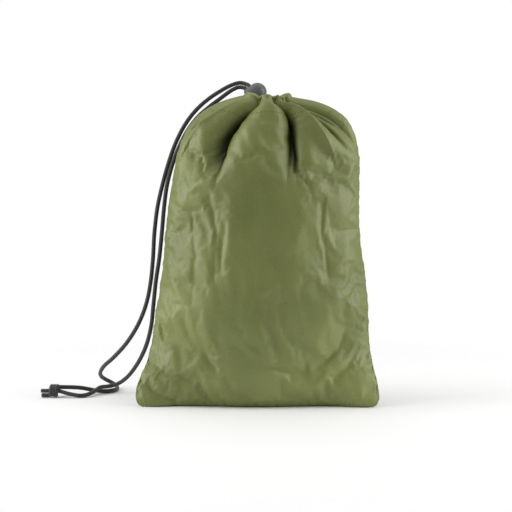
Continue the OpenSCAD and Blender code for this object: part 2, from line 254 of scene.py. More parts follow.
@dataclass(frozen=True)
class BraidedPolyester:
    """Tight braid of dull polyester yarn: near black, with a soft sheen on each raised strand and painted shade in
    the gaps between them.
    """

    name: str = "braided_polyester_cord"
    raised: str = "#343435"
    # painted shade: the darker colour of the gaps between the strands
    gap: str = "#161617"
    strands: int = 8
    lead_mm: float = 12.0  # length in which a strand goes once round the cord

    def build(self) -> bpy.types.Material:
        """Makes the cord's finish from the braid's two crossing sets of strands."""
        material, tree, shader = new_material(self.name)
        uv = add_node(tree, "ShaderNodeUVMap", uv_map="braid")
        parts = add_node(tree, "ShaderNodeSeparateXYZ", {"Vector": uv.outputs["UV"]})
        along = add_node(
            tree, "ShaderNodeMath", {0: parts.outputs["X"], 1: 1 / (self.lead_mm * MM)}, operation="MULTIPLY"
        )
        crests = []
        for way in ("ADD", "SUBTRACT"):
            turn = add_node(
                tree, "ShaderNodeMath", {0: parts.outputs["Y"], 1: along.outputs["Value"]}, operation=way
            )
            angle = add_node(
                tree, "ShaderNodeMath", {0: turn.outputs["Value"], 1: math.tau * self.strands}, operation="MULTIPLY"
            )
            crests.append(add_node(tree, "ShaderNodeMath", {0: angle.outputs["Value"]}, operation="COSINE"))
        cross = add_node(
            tree,
            "ShaderNodeMath",
            {0: crests[0].outputs["Value"], 1: crests[1].outputs["Value"]},
            operation="MULTIPLY",
        )
        height = add_node(
            tree, "ShaderNodeMapRange", {"Value": cross.outputs["Value"], "From Min": -1.0, "From Max": 1.0}
        )
        # painted shade: the colour goes darker towards the gaps between the strands, following the braid's height
        colour = add_node(
            tree,
            "ShaderNodeMix",
            {0: height.outputs["Result"], 6: linear(self.gap), 7: linear(self.raised)},
            data_type="RGBA",
        )
        tree.links.new(colour.outputs[2], shader.inputs["Base Color"])
        bump = add_node(
            tree, "ShaderNodeBump", {"Height": height.outputs["Result"], "Strength": 0.6, "Distance": 0.2 * MM}
        )
        tree.links.new(bump.outputs["Normal"], shader.inputs["Normal"])
        shader.inputs["Roughness"].default_value = 0.62
        shader.inputs["Sheen Weight"].default_value = 0.2
        shader.inputs["Sheen Roughness"].default_value = 0.5
        return material


@dataclass(frozen=True)
class MouldedAcetal:
    """Injection-moulded acetal: grey, satin, with the faint orange-peel grain of a spark-eroded mould."""

    name: str = "moulded_acetal"
    base: str = "#4c5050"
    worn: str = "#5d6160"
    grain_mm: float = 0.5

    def build(self) -> bpy.types.Material:
        """Makes the moulded plastic with its grain and handling marks."""
        material, tree, shader = new_material(self.name)
        place = add_node(tree, "ShaderNodeTexCoord")
        marks = add_node(
            tree, "ShaderNodeTexNoise", {"Vector": place.outputs["Object"], "Scale": 1 / (6 * MM), "Detail": 5.0}
        )
        colour = add_node(
            tree,
            "ShaderNodeMix",
            {0: marks.outputs["Fac"], 6: linear(self.base), 7: linear(self.worn)},
            data_type="RGBA",
        )
        tree.links.new(colour.outputs[2], shader.inputs["Base Color"])
        grain = add_node(
            tree,
            "ShaderNodeTexNoise",
            {"Vector": place.outputs["Object"], "Scale": 1 / (self.grain_mm * MM), "Detail": 1.0},
        )
        bump = add_node(
            tree, "ShaderNodeBump", {"Height": grain.outputs["Fac"], "Strength": 0.3, "Distance": 0.05 * MM}
        )
        tree.links.new(bump.outputs["Normal"], shader.inputs["Normal"])
        rough = add_node(
            tree, "ShaderNodeMapRange", {"Value": marks.outputs["Fac"], "To Min": 0.34, "To Max": 0.5}
        )
        tree.links.new(rough.outputs["Result"], shader.inputs["Roughness"])
        shader.inputs["IOR"].default_value = 1.48
        return material


@dataclass(frozen=True)
class WovenTape:
    """Grosgrain binding tape: matt, with fine cross ribs that catch the light along its edge."""

    name: str = "grosgrain_binding_tape"
    base: str = "#565c33"
    shade: str = "#41471f"
    rib_mm: float = 3.158  # the real ribs, 0.8 mm apart, are too fine to show, so they are drawn this coarse

    def build(self) -> bpy.types.Material:
        """Makes the tape with ribs across its length."""
        material, tree, shader = new_material(self.name)
        place = add_node(tree, "ShaderNodeTexCoord")
        ribs = add_node(
            tree,
            "ShaderNodeTexWave",
            {"Vector": place.outputs["Object"], "Scale": 1 / (self.rib_mm * MM) / WAVE_DIAGONALS, "Distortion": 0.6},
            bands_direction="DIAGONAL",
        )
        colour = add_node(
            tree,
            "ShaderNodeMix",
            {0: ribs.outputs["Fac"], 6: linear(self.shade), 7: linear(self.base)},
            data_type="RGBA",
        )
        tree.links.new(colour.outputs[2], shader.inputs["Base Color"])
        bump = add_node(
            tree, "ShaderNodeBump", {"Height": ribs.outputs["Fac"], "Strength": 0.5, "Distance": 0.15 * MM}
        )
        tree.links.new(bump.outputs["Normal"], shader.inputs["Normal"])
        shader.inputs["Roughness"].default_value = 0.8
        return material


@dataclass(frozen=True)
class SewingThread:
    """Twisted polyester thread: two plies that show as a fine slanted twist with a dull shine."""

    name: str = "twisted_polyester_thread"
    base: str = "#6b7142"
    shade: str = "#474c28"
    twist_mm: float = 2.369  # the real twist of 0.6 mm is too fine to show, so it is drawn this coarse

    def build(self) -> bpy.types.Material:
        """Makes the thread with its twist."""
        material, tree, shader = new_material(self.name)
        place = add_node(tree, "ShaderNodeTexCoord")
        twist = add_node(
            tree,
            "ShaderNodeTexWave",
            {"Vector": place.outputs["Object"], "Scale": 1 / (self.twist_mm * MM) / WAVE_DIAGONALS},
            bands_direction="DIAGONAL",
        )
        colour = add_node(
            tree,
            "ShaderNodeMix",
            {0: twist.outputs["Fac"], 6: linear(self.shade), 7: linear(self.base)},
            data_type="RGBA",
        )
        tree.links.new(colour.outputs[2], shader.inputs["Base Color"])
        shader.inputs["Roughness"].default_value = 0.6
        return material


@dataclass(frozen=True)
class SpringWire:
    """Drawn music wire: bright grey metal with fine draw lines."""

    name: str = "drawn_spring_wire"
    base: str = "#b9bcc0"

    def build(self) -> bpy.types.Material:
        """Makes the wire with uneven brightness from drawing."""
        material, tree, shader = new_material(self.name)
        place = add_node(tree, "ShaderNodeTexCoord")
        lines = add_node(
            tree, "ShaderNodeTexNoise", {"Vector": place.outputs["Object"], "Scale": 1 / (0.8 * MM), "Detail": 2.0}
        )
        rough = add_node(
            tree, "ShaderNodeMapRange", {"Value": lines.outputs["Fac"], "To Min": 0.22, "To Max": 0.4}
        )
        tree.links.new(rough.outputs["Result"], shader.inputs["Roughness"])
        shader.inputs["Base Color"].default_value = linear(self.base)
        shader.inputs["Metallic"].default_value = 1.0
        return material


@dataclass(frozen=True)
class StudioPaper:
    """Matt white background paper, which gives the soft contact shadow and nothing else."""

    name: str = "matt_studio_paper"
    base: str = "#f4f4f4"

    def build(self) -> bpy.types.Material:
        """Makes the paper with a barely visible tooth."""
        material, tree, shader = new_material(self.name)
        place = add_node(tree, "ShaderNodeTexCoord")
        tooth = add_node(
            tree, "ShaderNodeTexNoise", {"Vector": place.outputs["Object"], "Scale": 1 / (3 * MM), "Detail": 2.0}
        )
        rough = add_node(
            tree, "ShaderNodeMapRange", {"Value": tooth.outputs["Fac"], "To Min": 0.75, "To Max": 0.85}
        )
        tree.links.new(rough.outputs["Result"], shader.inputs["Roughness"])
        shader.inputs["Base Color"].default_value = linear(self.base)
        distance = add_node(tree, "ShaderNodeVectorMath", {0: place.outputs["Object"]}, operation="LENGTH")
        shown = add_node(
            tree,
            "ShaderNodeMapRange",
            {"Value": distance.outputs["Value"], "From Min": 0.2, "From Max": 0.5, "To Min": 1.0, "To Max": 0.0},
            interpolation_type="SMOOTHSTEP",
        )
        tree.links.new(shown.outputs["Result"], shader.inputs["Alpha"])
        return material


def monotone(knots: np.ndarray, values: np.ndarray, at: np.ndarray) -> np.ndarray:
    """Follows values smoothly between their knots and never swings past them.

    Args:
        knots: Rising positions of the values.
        values: One value for each knot.
        at: Positions to read.

    Returns:
        The value at each position.
    """
    step = np.diff(knots)
    rise = np.diff(values) / step
    slope = np.zeros_like(values)
    for k in range(1, len(values) - 1):
        if rise[k - 1] * rise[k] > 0:
            slope[k] = 2 * rise[k - 1] * rise[k] / (rise[k - 1] + rise[k])
    slope[0], slope[-1] = rise[0], rise[-1]
    k = np.clip(np.searchsorted(knots, at, side="right") - 1, 0, len(step) - 1)
    t = (at - knots[k]) / step[k]
    return (
        values[k] * (1 + 2 * t) * (1 - t) ** 2
        + slope[k] * step[k] * t * (1 - t) ** 2
        + values[k + 1] * t * t * (3 - 2 * t)
        + slope[k + 1] * step[k] * t * t * (t - 1)
    )


def soften(values: np.ndarray, spread: float) -> np.ndarray:
    """Rounds off the corners of a profile.

    Args:
        values: Evenly spaced values.
        spread: How many of them are blended together.

    Returns:
        The softened values, with the same ends.
    """
    reach = round(spread * 3)
    weight = np.exp(-0.5 * (np.arange(-reach, reach + 1) / spread) ** 2)
    before = 2 * values[0] - values[reach:0:-1]
    after = 2 * values[-1] - values[-2 : -reach - 2 : -1]
    padded = np.concatenate([before, values, after])
    return np.convolve(padded, weight / weight.sum(), mode="valid")


def smooth_step(low: float, high: float, value: np.ndarray) -> np.ndarray:
    """Rises smoothly from 0 at low to 1 at high."""
    t = np.clip((value - low) / (high - low), 0.0, 1.0)
    return t * t * (3 - 2 * t)


def soft_noise(place: np.ndarray, size: tuple[float, float, float]) -> float:
    """Reads smooth noise that is tilted, so that its cells don't line up with the cloth.

    Args:
        place: A point in millimetres.
        size: Size of the dents along X, Y and Z, in millimetres.

    Returns:
        A value from about -1 to 1.
    """
    x, y, z = place[0] / size[0], place[1] / size[1], place[2] / size[2]
    tilted = Vector((x + 0.31 * z + 0.2 * y, y - 0.27 * x + 0.36 * z, z + 0.43 * x - 0.22 * y))
    return noise.noise(tilted, noise_basis="PERLIN_NEW")


def run_along(line: np.ndarray) -> np.ndarray:
    """Measures how far along a line each of its points is."""
    return np.concatenate([[0.0], np.cumsum(np.linalg.norm(np.diff(line, axis=0), axis=1))])


def spline(points: list[tuple[float, float, float]], spacing: float) -> np.ndarray:
    """Runs a smooth curve through route points and reads it at even steps.

    Args:
        points: Route points in millimetres.
        spacing: Distance between the points that are returned, in metres.

    Returns:
        Points of the curve in metres, evenly spaced.
    """
    p = np.array(points, float) * MM
    p = np.vstack([2 * p[0] - p[1], p, 2 * p[-1] - p[-2]])
    fine = []
    for a, b, c, d in zip(p[:-3], p[1:-2], p[2:-1], p[3:]):
        t = np.linspace(0, 1, 24, endpoint=False)[:, None]
        fine.append(0.5 * (2 * b + (c - a) * t + (2 * a - 5 * b + 4 * c - d) * t**2 + (3 * b - a - 3 * c + d) * t**3))
    line = np.vstack([*fine, p[-2][None]])
    run = run_along(line)
    at = np.linspace(0, run[-1], max(3, round(run[-1] / spacing) + 1))
    return np.stack([np.interp(at, run, line[:, k]) for k in range(3)], axis=1)


def finish_mesh(mesh: bmesh.types.BMesh, name: str, material: bpy.types.Material | None) -> bpy.types.Object:
    """Turns a bmesh into a smooth-shaded piece that is linked to the scene.

    Args:
        mesh: The finished bmesh, which is freed.
        name: Name of the piece.
        material: Its finish, or nothing for a helper that isn't kept.

    Returns:
        The new object, at the origin.
    """
    data = bpy.data.meshes.new(name)
    mesh.to_mesh(data)
    mesh.free()
    if material is not None:
        data.materials.append(material)
    data.polygons.foreach_set("use_smooth", [True] * len(data.polygons))
    piece = bpy.data.objects.new(name, data)
    bpy.context.scene.collection.objects.link(piece)
    return piece


def grid_sheet(points: np.ndarray, uv: np.ndarray, layer: str) -> bmesh.types.BMesh:
    """Bends a flat grid into a surface.

    Args:
        points: Rows by columns by 3, the place of each grid point.
        uv: Rows by columns by 2, its UV.
        layer: Name of the UV map.

    Returns:
        The bmesh of the surface, with one vertex for each grid point.
    """
    rows, columns = points.shape[:2]
    mesh = bmesh.new()
    bmesh.ops.create_grid(mesh, x_segments=columns - 1, y_segments=rows - 1, size=1)
    store = mesh.loops.layers.uv.new(layer)
    slots = {
        v.index: (round((v.co.y + 1) / 2 * (rows - 1)), round((v.co.x + 1) / 2 * (columns - 1))) for v in mesh.verts
    }
    for face in mesh.faces:
        for loop in face.loops:
            loop[store].uv = uv[slots[loop.vert.index]]
    tag = mesh.verts.layers.int.new("slot")
    for vertex in mesh.verts:
        row, column = slots[vertex.index]
        vertex.co = points[row, column]
        vertex[tag] = row * columns + column
    return mesh


def tube(
    line: np.ndarray, radius: np.ndarray, sides: int, ridge: float = 0.0, strands: int = 8, lead: float = 0.012
) -> bmesh.types.BMesh:
    """Sweeps a round cord along a line, with a braid raised on it and each end closed by a filled cap.

    Args:
        line: Points of the centreline.
        radius: Radius at each point.
        sides: Number of faces round the cord.
        ridge: Height of the braid's strands.
        strands: Number of strands that run each way round the cord.
        lead: Length in which a strand goes once round.

    Returns:
        The closed bmesh of the cord with a "braid" UV map: distance along it, and turns round it.
    """
    along = np.gradient(line, axis=0)
    along /= np.linalg.norm(along, axis=1)[:, None]
    run = run_along(line)
    side = np.zeros_like(line)
    start = np.cross(along[0], (0.0, 0.0, 1.0))
    if np.linalg.norm(start) < 0.1:
        start = np.cross(along[0], (0.0, 1.0, 0.0))
    side[0] = start / np.linalg.norm(start)
    for k in range(1, len(line)):
        carried = side[k - 1] - along[k] * (side[k - 1] @ along[k])
        side[k] = carried / np.linalg.norm(carried)
    other = np.cross(along, side)
    turn = np.linspace(0, 1, sides + 1)
    angle = math.tau * turn
    wave = np.cos(strands * math.tau * (turn[None, :] + run[:, None] / lead)) * np.cos(
        strands * math.tau * (turn[None, :] - run[:, None] / lead)
    )
    r = (radius[:, None] + ridge * (wave - 0.5))[..., None]
    points = line[:, None, :] + r * (
        np.cos(angle)[None, :, None] * side[:, None, :] + np.sin(angle)[None, :, None] * other[:, None, :]
    )
    points[:, -1] = points[:, 0]
    uv = np.stack(np.broadcast_arrays(run[:, None], turn[None, :]), axis=-1)
    mesh = grid_sheet(points, uv, "braid")
    bmesh.ops.remove_doubles(mesh, verts=mesh.verts[:], dist=1e-6)
    rims = [e for e in mesh.edges if e.is_boundary]
    bmesh.ops.holes_fill(mesh, edges=rims, sides=0)
    bmesh.ops.recalc_face_normals(mesh, faces=mesh.faces[:])
    return mesh


def add_stitch(mesh: bmesh.types.BMesh, start: Vector, end: Vector, outward: Vector, thread_d: float) -> None:
    """Lays one stitch, a thin pillow of thread whose ends dive into the cloth.

    Args:
        mesh: The bmesh that collects the stitches.
        start: Where the stitch comes out of the cloth.
        end: Where it goes back in.
        outward: Direction away from the cloth.
        thread_d: Thickness of the thread.
    """
    run = end - start
    across = run.cross(outward).normalized()
    up = across.cross(run).normalized()
    made = bmesh.ops.create_icosphere(mesh, subdivisions=1, radius=0.5)["verts"]
    for v in made:
        v.co = (
            (start + end) / 2
            + run * v.co.x * 1.08
            + across * (v.co.y * thread_d)
            + up * (v.co.z * thread_d - abs(v.co.x) ** 2 * thread_d)
        )


class Side(Enum):
    """The two cloth panels."""

    FRONT = -1
    BACK = 1


@dataclass(frozen=True)
class Fold:
    """A fold that runs down from the gathered neck.

    Angles go round the neck in degrees: 0 at the front, 90 at the right seam, 180 at the back and -90 at the left.
    """

    neck_turn: float
    foot_turn: float
    foot_z: float  # millimetres, where the fold has faded out
    depth: float  # millimetres, above 0 for a hollow and below 0 for a ridge
    width: float  # degrees
    sharp: float = 1.3  # 1 is a sharp crease and 2 a soft hollow


@dataclass(frozen=True)
class Crease:
    """A crinkle on a panel, as a line across its width and height in millimetres."""

    side: Side
    line: tuple[tuple[float, float], ...]
    depth: float
    width: float
    sharp: float = 1.2


FOLDS = [
    # the hollow and the deep crease on the left of the middle pleat
    Fold(-25, -33, 192, 24.0, 6.0, 1.2),
    Fold(-32, -37, 204, 17.0, 7, 1.8),
    # the ridge along the left shoulder and the layer behind it
    Fold(-52, -70, 226, -4.0, 5, 1.1),
    Fold(-60, -84, 240, 5.0, 7, 1.3),
    Fold(-88, -90, 246, -3.0, 12, 1.6),
    # the two narrow creases on the right of the middle pleat
    Fold(13.5, 12.5, 196, 21.0, 4.2, 1.25),
    Fold(18.5, 18.5, 192, 21.0, 4.2, 1.25),
    # the long slanted pleat, the crease above it and the pocket in the right shoulder
    Fold(27, 52, 212, -5.5, 5, 1.05),
    Fold(34, 62, 228, 15.0, 6.0, 1.1),
    Fold(50, 68, 236, 8.0, 9, 1.6),
    Fold(64, 76, 224, 7.0, 6, 1.2),
    Fold(80, 84, 246, -3.0, 9, 1.4),
    # round the back, between the seams and the slit
    Fold(98, 100, 232, 7.0, 6, 1.2),
    Fold(108, 112, 240, -2.5, 6, 1.4),
    Fold(117, 124, 204, 10.0, 5.5, 1.1),
    Fold(133, 145, 222, 8.0, 5.5, 1.1),
    Fold(150, 161, 196, 10.0, 4.5, 1.1),
    Fold(166, 178, 230, 6.0, 5, 1.2),
    Fold(209, 204, 204, 9.0, 5, 1.1),
    Fold(225, 222, 226, 8.0, 5.5, 1.2),
    Fold(241, 246, 200, 10.0, 5.5, 1.1),
    Fold(258, 262, 232, 7.0, 6, 1.2),
    Fold(268, 266, 246, -2.5, 8, 1.4),
]

CREASES = [
    Crease(Side.FRONT, ((-44, 196), (-38, 160), (-40, 118)), 2.0, 7),
    Crease(Side.FRONT, ((-62, 180), (-57, 140), (-60, 96)), 1.4, 6),
    Crease(Side.FRONT, ((-30, 170), (-34, 128)), 1.2, 4),
    Crease(Side.FRONT, ((17, 127), (9, 146)), 1.1, 3.2),
    Crease(Side.FRONT, ((23, 126), (31, 142)), 1.0, 3.2),
    Crease(Side.FRONT, ((21, 119), (24, 100)), 1.1, 3.2),
    Crease(Side.FRONT, ((15, 120), (4, 112)), 0.9, 3.2),
    Crease(Side.FRONT, ((38, 218), (46, 204), (49, 190)), 1.6, 4),
    Crease(Side.FRONT, ((60, 214), (58, 170), (66, 120)), 1.5, 8),
    Crease(Side.FRONT, ((84, 72), (76, 54), (64, 44)), 2.4, 5),
    Crease(Side.FRONT, ((97, 60), (84, 38), (70, 26)), 2.0, 5),
    Crease(Side.FRONT, ((-51, 54), (-37, 34)), 1.8, 4),
    Crease(Side.FRONT, ((-94, 38), (-80, 30), (-62, 26)), 2.2, 4.5),
    Crease(Side.FRONT, ((-100, 18), (-90, 10), (-76, 5)), 2.6, 4),
    Crease(Side.FRONT, ((-20, 60), (6, 40), (30, 34)), 1.2, 6),
    Crease(Side.BACK, ((40, 196), (46, 150), (42, 104)), 2.0, 7),
    Crease(Side.BACK, ((-18, 188), (-10, 150)), 1.4, 5),
    Crease(Side.BACK, ((-52, 170), (-58, 122), (-50, 90)), 1.8, 6),
    Crease(Side.BACK, ((-20, 122), (-6, 104), (12, 98)), 1.3, 4),
    Crease(Side.BACK, ((12, 98), (20, 80)), 1.1, 3.5),
    Crease(Side.BACK, ((92, 66), (78, 46), (60, 38)), 2.4, 5),
    Crease(Side.BACK, ((-92, 58), (-78, 40), (-64, 34)), 2.3, 5),
    Crease(Side.BACK, ((98, 20), (86, 10), (72, 5)), 2.4, 4),
    Crease(Side.BACK, ((-98, 20), (-88, 10), (-76, 5)), 2.4, 4),
]


@dataclass(frozen=True)
class Slit:
    """The oval buttonhole at the back of the hem, where the two tails come out."""

    middle: tuple[float, float, float] = (7.2, 21.0, 276.8)  # millimetres
    half_w: float = 5.2
    half_h: float = 3.6

    def rim(self, turns: float, size: float) -> tuple[float, float]:
        """Gives a point round the oval.

        Args:
            turns: How far round, from 0 to 1.
            size: Size of the oval, as a share of the hole's.

        Returns:
            Its place across and up, in metres.
        """
        angle = math.tau * turns
        return (
            (self.middle[0] + self.half_w * size * math.cos(angle)) * MM,
            (self.middle[2] + self.half_h * size * math.sin(angle)) * MM,
        )

    def holds(self, place: Vector) -> bool:
        """Tells whether a point of the back cloth lies in the hole."""
        x, y, z = (place[k] / MM - self.middle[k] for k in range(3))
        return abs(y) < 8 and (x / self.half_w) ** 2 + (z / self.half_h) ** 2 < 1


@dataclass
class GatheredBag:
    """The bag's two nylon panels, drawn together at the neck, with the folded hem that holds the drawcord."""

    columns: int = 170  # across one panel
    rows: int = 250
    cloth_t: float = 0.35 * MM
    neck_x: float = 10 * MM
    # the bottom corners flop forwards: their place across the bag and how far they come, in millimetres
    corners: tuple[tuple[float, float], ...] = ((-108, 19), (110, 23))
    corner_spread: float = 34.0  # millimetres across the bag that a flopping corner takes with it
    foot_height: float = 62.0  # millimetres, below which the corners flop and the foot leans forwards
    lean: float = 4 * MM
    cord_clear_r: float = 16.2 * MM
    turned_in_share: float = 0.44  # pleat depth share at and below which the hem is turned in
    neck_z: float = 284.0  # millimetres, where the folds start
    pinch: float = 0.3  # how far a fold draws the cloth beside it in, as a share of its depth
    painted_shade_start: float = 5.5  # millimetres of fold depth at which the painted shade begins to darken the cloth
    painted_shade_full: float = 16.0
    dent_depth: float = 2.1 * MM
    pucker_depth: float = 1.1 * MM
    # the settling: spare cloth as a share, the filling's push, the cloth's stiffness in bending, how many steps, the
    # most that a point may move, how much of the broad movement is taken out, and how much of the rest is kept
    spare_cloth: float = 0.05
    push: float = 1.0
    bending: float = 0.15
    settle_frames: int = 18
    settle_cap: float = 6 * MM
    broad_spread: float = 7.0  # simulated points
    broad_share: float = 0.85
    settled_share: float = 0.75
    # height as a share of the bag's, left and right of its width, front and back of its half depth, how pointed the
    # section is at the seams, and how far the back shoulder hangs lower as a share of the width, all in per cent
    shape: tuple[tuple[float, ...], ...] = (
        (0, -44, 43, 0, 0, 1, 0),
        (0, -47, 46.5, 44, 44, 2.2, 0),
        (1, -49, 49, 54, 54, 2.2, 0),
        (3.5, -50, 50, 63, 63, 2.2, 0),
        (7, -49.5, 49.5, 72, 72, 2, 0),
        (12, -46.5, 48, 80, 80, 1.8, 0),
        (19, -44, 46.5, 90, 90, 1.6, 0),
        (30, -42, 46, 98, 98, 1.4, 0),
        (42, -39.5, 44.5, 100, 100, 1.3, 0),
        (56, -38, 42, 99, 99, 1.2, 0),
        (70, -35.5, 42, 93, 93, 1.15, 0),
        (79.5, -33.5, 42, 87, 87, 1.1, 0),
        (86.5, -31, 40.5, 79, 78, 1, 0),
        (91.3, -25.5, 37, 72, 67, 1, 1),
        (94.8, -19, 31, 64, 59, 1, 2.2),
        (97.2, -12, 23.5, 57, 51, 1, 3.6),
    )
    # the hem: height and radius in millimetres, how far its back hangs lower, and how deep its pleats are
    hem: tuple[tuple[float, ...], ...] = (
        (282.4, 23.4, 9.5, 1.0),
        (284.2, 20.8, 8.5, 0.55),
        (286.2, 20.4, 3.5, 0.5),
        (287.6, 19.4, 0.5, 0.45),
        (287.7, 17.2, 0, 0.42),
        (286.4, 13.2, 0, 0.36),
        (284.0, 9.6, 0, 0.26),
        (280.0, 7.6, 0, 0.14),
        (272.0, 7.2, 0, 0.1),
        (266.0, 8.0, 0, 0.1),
    )
    slit: Slit = field(default_factory=lambda: Slit())
    back_tree: BVHTree | None = None
    points: np.ndarray = field(default_factory=lambda: np.zeros(0))
    normals: np.ndarray = field(default_factory=lambda: np.zeros(0))
    flat: np.ndarray = field(default_factory=lambda: np.zeros(0))
    # painted shade of each point, from 0 to 1, which darkens the deep tucks
    painted_tuck_shade: np.ndarray = field(default_factory=lambda: np.zeros(0))

    def rows_in_metres(self) -> np.ndarray:
        """Puts the bag's shape and its hem on the frame's real sizes.

        Returns:
            For each row: height, left, right, front, back, pointedness, back drop and pleat depth share.
        """
        low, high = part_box("front_panel")
        width = high[0] - low[0]
        half_depth = high[1] - low[1]
        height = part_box("front_hem")[1][2]
        rows = [
            (z * height / 100, a * width / 100, b * width / 100, f * half_depth / 100, k * half_depth / 100, p,
             d * width / 100, 1.0)
            for z, a, b, f, k, p, d in self.shape
        ]
        for z, r, drop, share in self.hem:
            rows.append((z * MM, self.neck_x - r * MM, self.neck_x + r * MM, r * MM, r * MM, 1, drop * MM, share))
        return np.array(rows)

    def lay_out(self) -> None:
        """Works out the smooth surface, then lays the neck's folds and the panels' crinkles on it."""
        table = self.rows_in_metres()
        knots = np.arange(len(table), dtype=float)
        fine = np.linspace(0, knots[-1], 3000)
        smooth = [soften(monotone(knots, table[:, k], fine), 32) for k in range(table.shape[1])]
        reach = (smooth[2] + smooth[3]) * 0.7
        run = np.concatenate([[0.0], np.cumsum(np.hypot(np.diff(smooth[0]), np.diff(reach)))])
        at = np.interp(np.linspace(0, run[-1], self.rows), run, fine)
        z, left, right, front, back, point, drop, share = (np.interp(at, fine, v)[:, None] for v in smooth)
        count = 2 * self.columns
        turn = np.linspace(-90, 270, count, endpoint=False)[None, :]
        rad = np.radians(turn)
        is_front = turn <= 90
        cos = np.abs(np.cos(rad))
        x = (left + right) / 2 + (right - left) / 2 * np.sin(rad)
        depth = np.where(is_front, -front, back)
        y = depth * cos**point
        height = z - np.where(is_front, 0.0, drop) * cos**2
        low = 1 - smooth_step(0.0, self.foot_height, z / MM)
        for corner_x, forward in self.corners:
            y = y - forward * MM * low * np.exp(-(((x / MM - corner_x) / self.corner_spread) ** 2))
        y = y - self.lean * low
        self.points = np.stack(np.broadcast_arrays(x, y, height), axis=-1).copy()
        self.flat = np.broadcast_to(run[-1] * np.linspace(0, 1, self.rows)[:, None], x.shape)
        self.normals = self.find_normals(self.points)
        deep, aside = self.fold_depth(turn, share)
        # painted shade: how far each point's colour is darkened, rising with the depth of its fold
        self.painted_tuck_shade = smooth_step(self.painted_shade_start, self.painted_shade_full, -deep / MM)
        crinkled = self.crinkle_depth(turn, share)
        across = np.roll(self.points, -1, axis=1) - np.roll(self.points, 1, axis=1)
        across /= np.maximum(np.linalg.norm(across, axis=-1, keepdims=True), 1e-9)
        self.points += self.normals * (deep + crinkled)[..., None] + across * aside[..., None]
        self.keep_off_the_cord(share)
        self.settle()
        self.keep_off_the_cord(share)
        self.points[..., 2] = np.maximum(self.points[..., 2], self.cloth_t)
        self.normals = self.find_normals(self.points)

    def settle(self) -> None:
        """Lets the sculpted cloth settle by simulation: a little spare cloth buckles under the filling's push.

        The simulation runs on every second grid point of both panels as one closed skin, held at the floor, the side
        seams and the neck. How far it moved each point is capped, most of the broad movement is taken out, and the
        rest, which is the small wrinkles, is laid over the full grid.
        """
        rows, columns = self.points.shape[:2]
        r_at, c_at = np.arange(0, rows, 2), np.arange(0, columns, 2)
        start = self.points[np.ix_(r_at, c_at)]
        closed = np.concatenate([start, start[:, :1]], axis=1)
        mesh = grid_sheet(closed, np.zeros((*closed.shape[:2], 2)), "cloth")
        seam = [v for v in mesh.verts if v[mesh.verts.layers.int["slot"]] % (len(c_at) + 1) in (0, len(c_at))]
        bmesh.ops.remove_doubles(mesh, verts=seam, dist=1e-7)
        piece = finish_mesh(mesh, "settling_skin", None)
        slots = np.zeros(len(piece.data.vertices), np.int32)
        piece.data.attributes["slot"].data.foreach_get("value", slots)
        z = np.array([v.co.z for v in piece.data.vertices]) / MM
        row = slots // (len(c_at) + 1) * 2
        column = slots % (len(c_at) + 1) * 2
        from_seam = np.minimum(column % self.columns, self.columns - column % self.columns)
        held = piece.vertex_groups.new(name="held")
        neck_row = int(np.argmax(self.points[:, self.columns // 2, 2] > 280 * MM))
        for index, (height, its_row, seam_gap) in enumerate(zip(z, row, from_seam)):
            weight = max(
                float(1 - smooth_step(1.0, 9.0, np.array(height))),
                float(smooth_step(neck_row - 26, neck_row - 8, np.array(float(its_row)))),
                float(1 - smooth_step(1.0, 7.0, np.array(float(seam_gap)))),
            )
            if weight > 0.01:
                held.add([index], weight, "REPLACE")
        cloth = piece.modifiers.new("settle", "CLOTH")
        cloth.settings.quality = 6
        cloth.settings.mass = 0.25
        cloth.settings.tension_stiffness = 25
        cloth.settings.compression_stiffness = 25
        cloth.settings.shear_stiffness = 8
        cloth.settings.bending_stiffness = self.bending
        cloth.settings.shrink_min = -self.spare_cloth
        cloth.settings.use_pressure = True
        cloth.settings.uniform_pressure_force = self.push
        cloth.settings.vertex_group_mass = "held"
        cloth.settings.effector_weights.gravity = 0
        cloth.collision_settings.use_collision = False
        scene = bpy.context.scene
        for number in range(1, self.settle_frames + 1):
            scene.frame_set(number)
        settled = piece.evaluated_get(bpy.context.evaluated_depsgraph_get())
        moved = closed.reshape(-1, 3).copy()
        places = np.zeros(len(slots) * 3, np.float32)
        settled.data.vertices.foreach_get("co", places)
        moved[slots] = places.reshape(-1, 3)
        scene.frame_set(1)
        bpy.data.objects.remove(piece, do_unlink=True)
        shift = moved.reshape(closed.shape) - closed
        shift[:, 0] += shift[:, -1]  # the merged edge's points were kept on one side or the other
        shift[:, -1] = shift[:, 0]
        size = np.linalg.norm(shift, axis=-1, keepdims=True)
        log.info("settling moved the cloth %.1f mm on average, %.1f mm at most", size.mean() / MM, size.max() / MM)
        shift *= np.minimum(1, self.settle_cap / np.maximum(size, 1e-9))
        for k in range(3):
            broad = np.stack([soften(line, self.broad_spread) for line in shift[..., k]])
            broad = np.stack([soften(line, self.broad_spread) for line in broad.T]).T
            shift[..., k] = self.settled_share * (shift[..., k] - self.broad_share * broad)
        c_all, r_all = np.arange(columns), np.arange(rows)
        fine = np.stack([[np.interp(c_all, np.arange(len(c_at) + 1) * 2, line) for line in shift[..., k]]
                         for k in range(3)], axis=-1)
        fine = np.stack([[np.interp(r_all, r_at, fine[:, c, k]) for c in range(columns)] for k in range(3)], axis=-1)
        calm = 1 - 0.7 * smooth_step(222, 258, self.points[..., 2:] / MM)
        self.points += fine.transpose(1, 0, 2) * calm
        self.points[..., 2] = np.maximum(self.points[..., 2], self.cloth_t)

